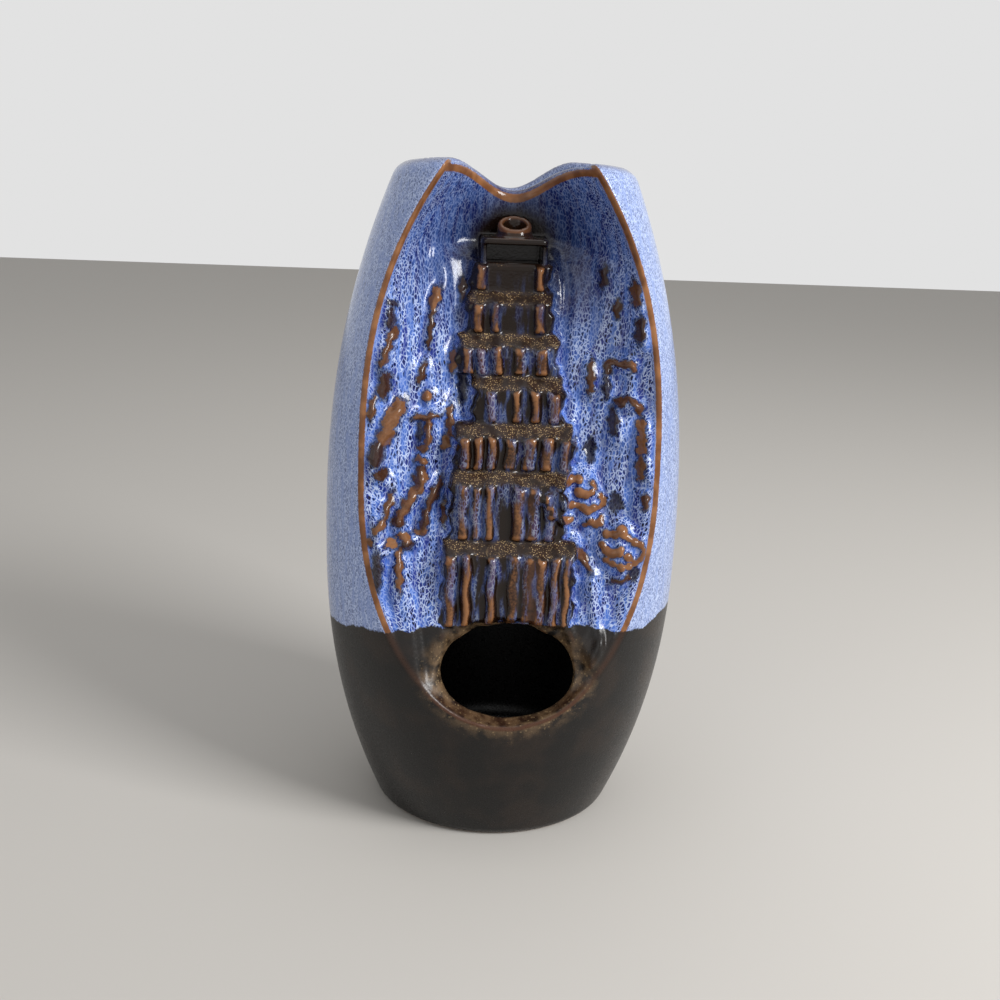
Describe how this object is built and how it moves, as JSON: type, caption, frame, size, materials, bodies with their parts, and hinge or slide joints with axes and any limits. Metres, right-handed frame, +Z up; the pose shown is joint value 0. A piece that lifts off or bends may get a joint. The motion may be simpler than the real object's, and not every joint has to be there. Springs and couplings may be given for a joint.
{
  "type": "backflow incense burner",
  "caption": "Hollow oval ceramic vase whose front is carved into a stepped waterfall between cliffs, with a ledge and smoke hole on top and a large hole below",
  "frame": {"origin": "middle of the flat foot, on the surface that it stands on", "axes": "+Z up; the carved recess faces -Y; X runs across the front, from the left of the vase to its right"},
  "size_m": [0.1028, 0.0853, 0.19],
  "materials": {
    "glaze": "variegated blue gloss glaze over a black satin glaze, brown where it breaks over edges"
  },
  "bodies": {
    "root": {"burner_body": "glaze"}
  },
  "joints": []
}
